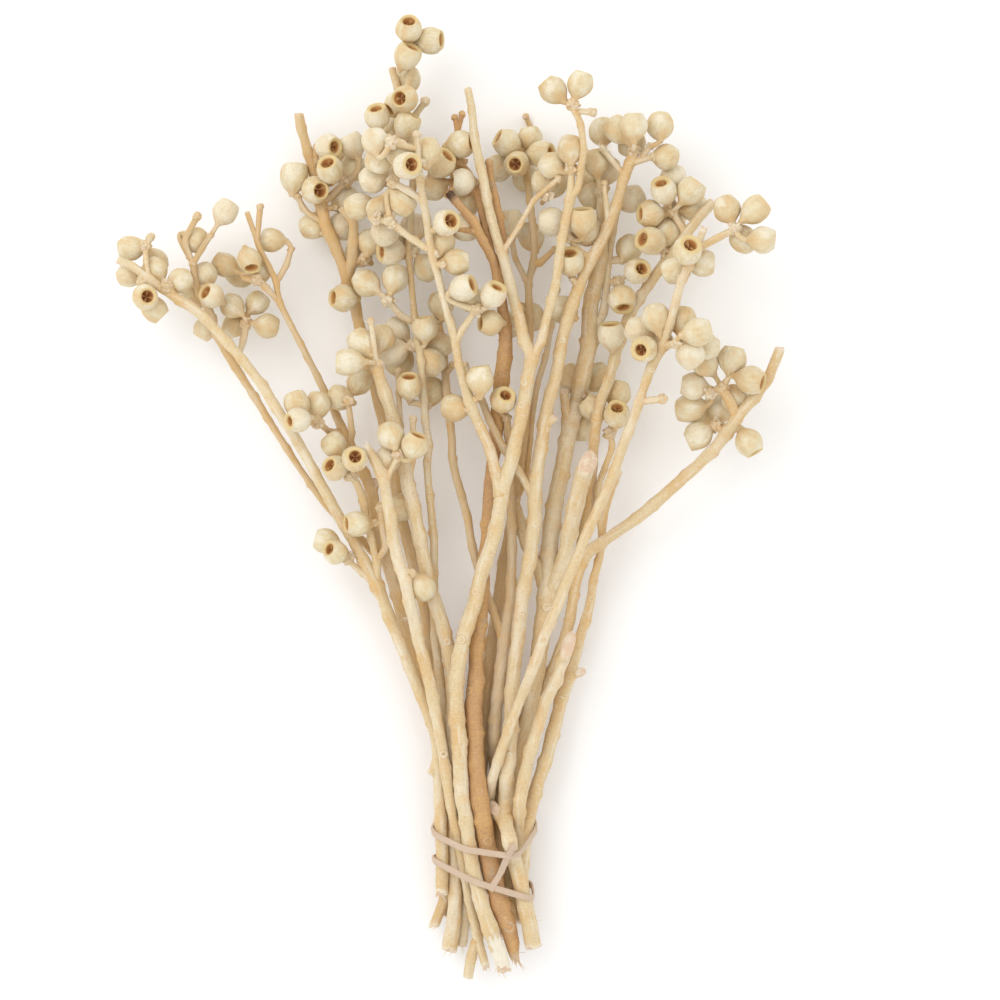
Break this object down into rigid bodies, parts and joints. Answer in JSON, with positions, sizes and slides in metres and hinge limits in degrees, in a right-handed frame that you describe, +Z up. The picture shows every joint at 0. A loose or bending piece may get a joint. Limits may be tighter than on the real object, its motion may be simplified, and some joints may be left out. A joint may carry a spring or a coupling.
{
  "type": "bunch of dried branches",
  "caption": "Bunch of dried, bleached branches with cup-shaped woody nuts, held together above the feet by a doubled rubber band and lying ready for a vase.",
  "frame": {"origin": "middle of the bounding box's bottom face, on the surface that the bunch lies on", "axes": "+Y from the cut feet to the nuts at the tips, +Z up from the surface, and +X to the right for someone who looks down with the feet towards them"},
  "size_m": [0.3103, 0.4487, 0.0834],
  "materials": {
    "pale_wood": "matte bleached bark",
    "shaded_wood": "matte tan bark",
    "brown_wood": "matte brown bark",
    "band_rubber": "matte"
  },
  "bodies": {
    "root": {"back_centre_branch": "shaded_wood", "brown_branch": "brown_wood", "centre_branch": "pale_wood", "cut_fork_branch": "pale_wood", "left_back_branch": "shaded_wood", "left_crown_branch": "shaded_wood", "left_front_branch": "pale_wood", "left_middle_branch": "pale_wood", "left_outer_branch": "pale_wood", "right_back_branch": "pale_wood", "right_front_branch": "pale_wood", "right_outer_branch": "pale_wood", "rubber_band": "band_rubber", "slim_branch": "pale_wood", "tall_branch": "pale_wood", "thin_brown_branch": "shaded_wood"}
  },
  "joints": []
}
